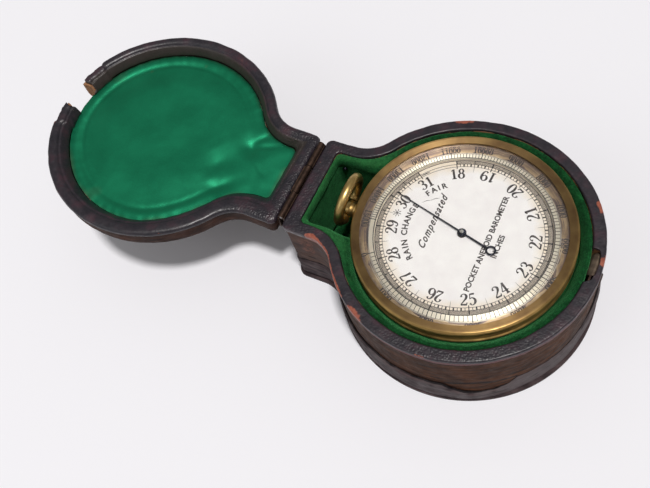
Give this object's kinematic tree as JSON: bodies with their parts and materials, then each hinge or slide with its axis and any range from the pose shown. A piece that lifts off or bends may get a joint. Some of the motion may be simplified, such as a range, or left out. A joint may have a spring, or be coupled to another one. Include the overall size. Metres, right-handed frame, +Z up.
{
  "type": "pocket aneroid barometer in case",
  "caption": "Pocket aneroid barometer with altitude ring, in an open leather-covered hinged case lined with velvet and silk.",
  "frame": {"origin": "centre of the round case on the surface it rests on", "axes": "+Z up; +X from the hinge towards the front of the case, so the open lid lies along -X"},
  "size_m": [0.1416, 0.0618, 0.0299],
  "materials": {
    "case_wood": "turned deal, bare inside",
    "rim_leather": "blackened grained leather, worn at the edges",
    "side_leather": "faded brown grained leather",
    "bottom_leather": "rubbed and dusty leather",
    "velvet": "dark green cotton velvet",
    "silk": "emerald green satin",
    "pad_board": "pasteboard",
    "gilt_brass": "gilt, polished",
    "dull_brass": "tarnished",
    "movement_brass": "grained and lacquered",
    "silvered_dial": "matt silvered brass",
    "silvered_ring": "silvered brass, tarnished",
    "blued_steel": "blued, polished",
    "steel": "grained",
    "capsule_metal": "german silver, corrugated",
    "crystal_glass": "bevelled, polished"
  },
  "bodies": {
    "case_base": {"base_carcass": "case_wood", "base_side_leather": "side_leather", "base_rim_leather": "rim_leather", "base_bottom_leather": "bottom_leather", "base_bottom_band": "bottom_leather", "base_velvet_floor": "velvet", "base_velvet_lining": "velvet", "lining_tack": "dull_brass", "catch_plate": "dull_brass", "catch_spring": "steel", "hinge_leaf_base": "dull_brass", "hinge_nails_base": "dull_brass", "hinge_pin": "steel"},
    "case_lid": {"lid_carcass": "case_wood", "lid_leather": "side_leather", "lid_rim_leather": "rim_leather", "lid_pad_board": "pad_board", "lid_silk_pad": "silk", "hinge_leaf_lid": "dull_brass", "hinge_nails_lid": "dull_brass"},
    "push_button": {"push_button": "dull_brass"},
    "barometer": {"case_drum": "gilt_brass", "dial": "silvered_dial", "pendant": "gilt_brass", "bow_pin": "gilt_brass", "base_plate": "movement_brass", "vacuum_capsule": "capsule_metal", "fulcrum_bridge": "steel", "shaft_brackets": "movement_brass", "arbor_bridge": "movement_brass", "bridge_pillars": "movement_brass", "dial_pillars": "movement_brass", "bridge_screws": "blued_steel", "spring_screws": "blued_steel", "hairspring": "blued_steel", "chain": "steel"},
    "bezel": {"bezel": "gilt_brass", "altitude_ring": "silvered_ring", "crystal": "crystal_glass"},
    "bow": {"bow_ring": "gilt_brass"},
    "hand": {"hand": "blued_steel", "hand_arbor": "steel"},
    "rocking_shaft": {"rocking_shaft": "steel"},
    "lever": {"mainspring": "steel", "main_lever": "steel", "compensation_strip": "steel", "connecting_link": "steel"},
    "adjusting_screw": {"adjusting_screw": "blued_steel"}
  },
  "joints": [
    {"name": "lid_hinge", "type": "hinge", "parent": "case_base", "child": "case_lid", "pos_m": [-0.0403, 0, 0.0241], "axis": [0, -1, 0], "range_deg": [-175.2, 0]},
    {"name": "button_press", "type": "slide", "parent": "case_base", "child": "push_button", "axis": [-1, 0, 0], "range_m": [0, 0.001], "stiffness_N_per_m": 200, "springref_m": -0.0005},
    {"name": "barometer_lift", "type": "slide", "parent": "case_base", "child": "barometer", "axis": [0, 0, 1], "range_m": [0, 0.026]},
    {"name": "bezel_turn", "type": "hinge", "parent": "barometer", "child": "bezel", "pos_m": [0, 0, 0.0232], "axis": [0, 0, 1], "continuous": true},
    {"name": "bow_swing", "type": "hinge", "parent": "barometer", "child": "bow", "pos_m": [-0.029, 0, 0.0172], "axis": [0, -1, 0], "range_deg": [-8, 44]},
    {"name": "rocking_shaft_turn", "type": "hinge", "parent": "barometer", "child": "rocking_shaft", "pos_m": [-0.014, 0, 0.01], "axis": [0, -1, 0], "range_deg": [-2.24, 31.03], "deforming": ["chain"]},
    {"name": "hand_turn", "type": "hinge", "parent": "barometer", "child": "hand", "pos_m": [0, 0, 0.023], "axis": [0, 0, 1], "range_deg": [-22.4, 310.3]},
    {"name": "lever_rise", "type": "hinge", "parent": "barometer", "child": "lever", "pos_m": [0.0145, 0, 0.009], "axis": [0, 1, 0], "range_deg": [-0.22, 3.1], "deforming": ["mainspring", "vacuum_capsule"]},
    {"name": "adjusting_screw_turn", "type": "hinge", "parent": "barometer", "child": "adjusting_screw", "pos_m": [0.0165, 0, 0.0045], "axis": [0, 0, -1], "range_deg": [-180, 180]}
  ],
  "couplings": [
    {"joint": "hand_turn", "follows": "rocking_shaft_turn", "ratio": 10},
    {"joint": "lever_rise", "follows": "rocking_shaft_turn", "ratio": 0.1}
  ]
}
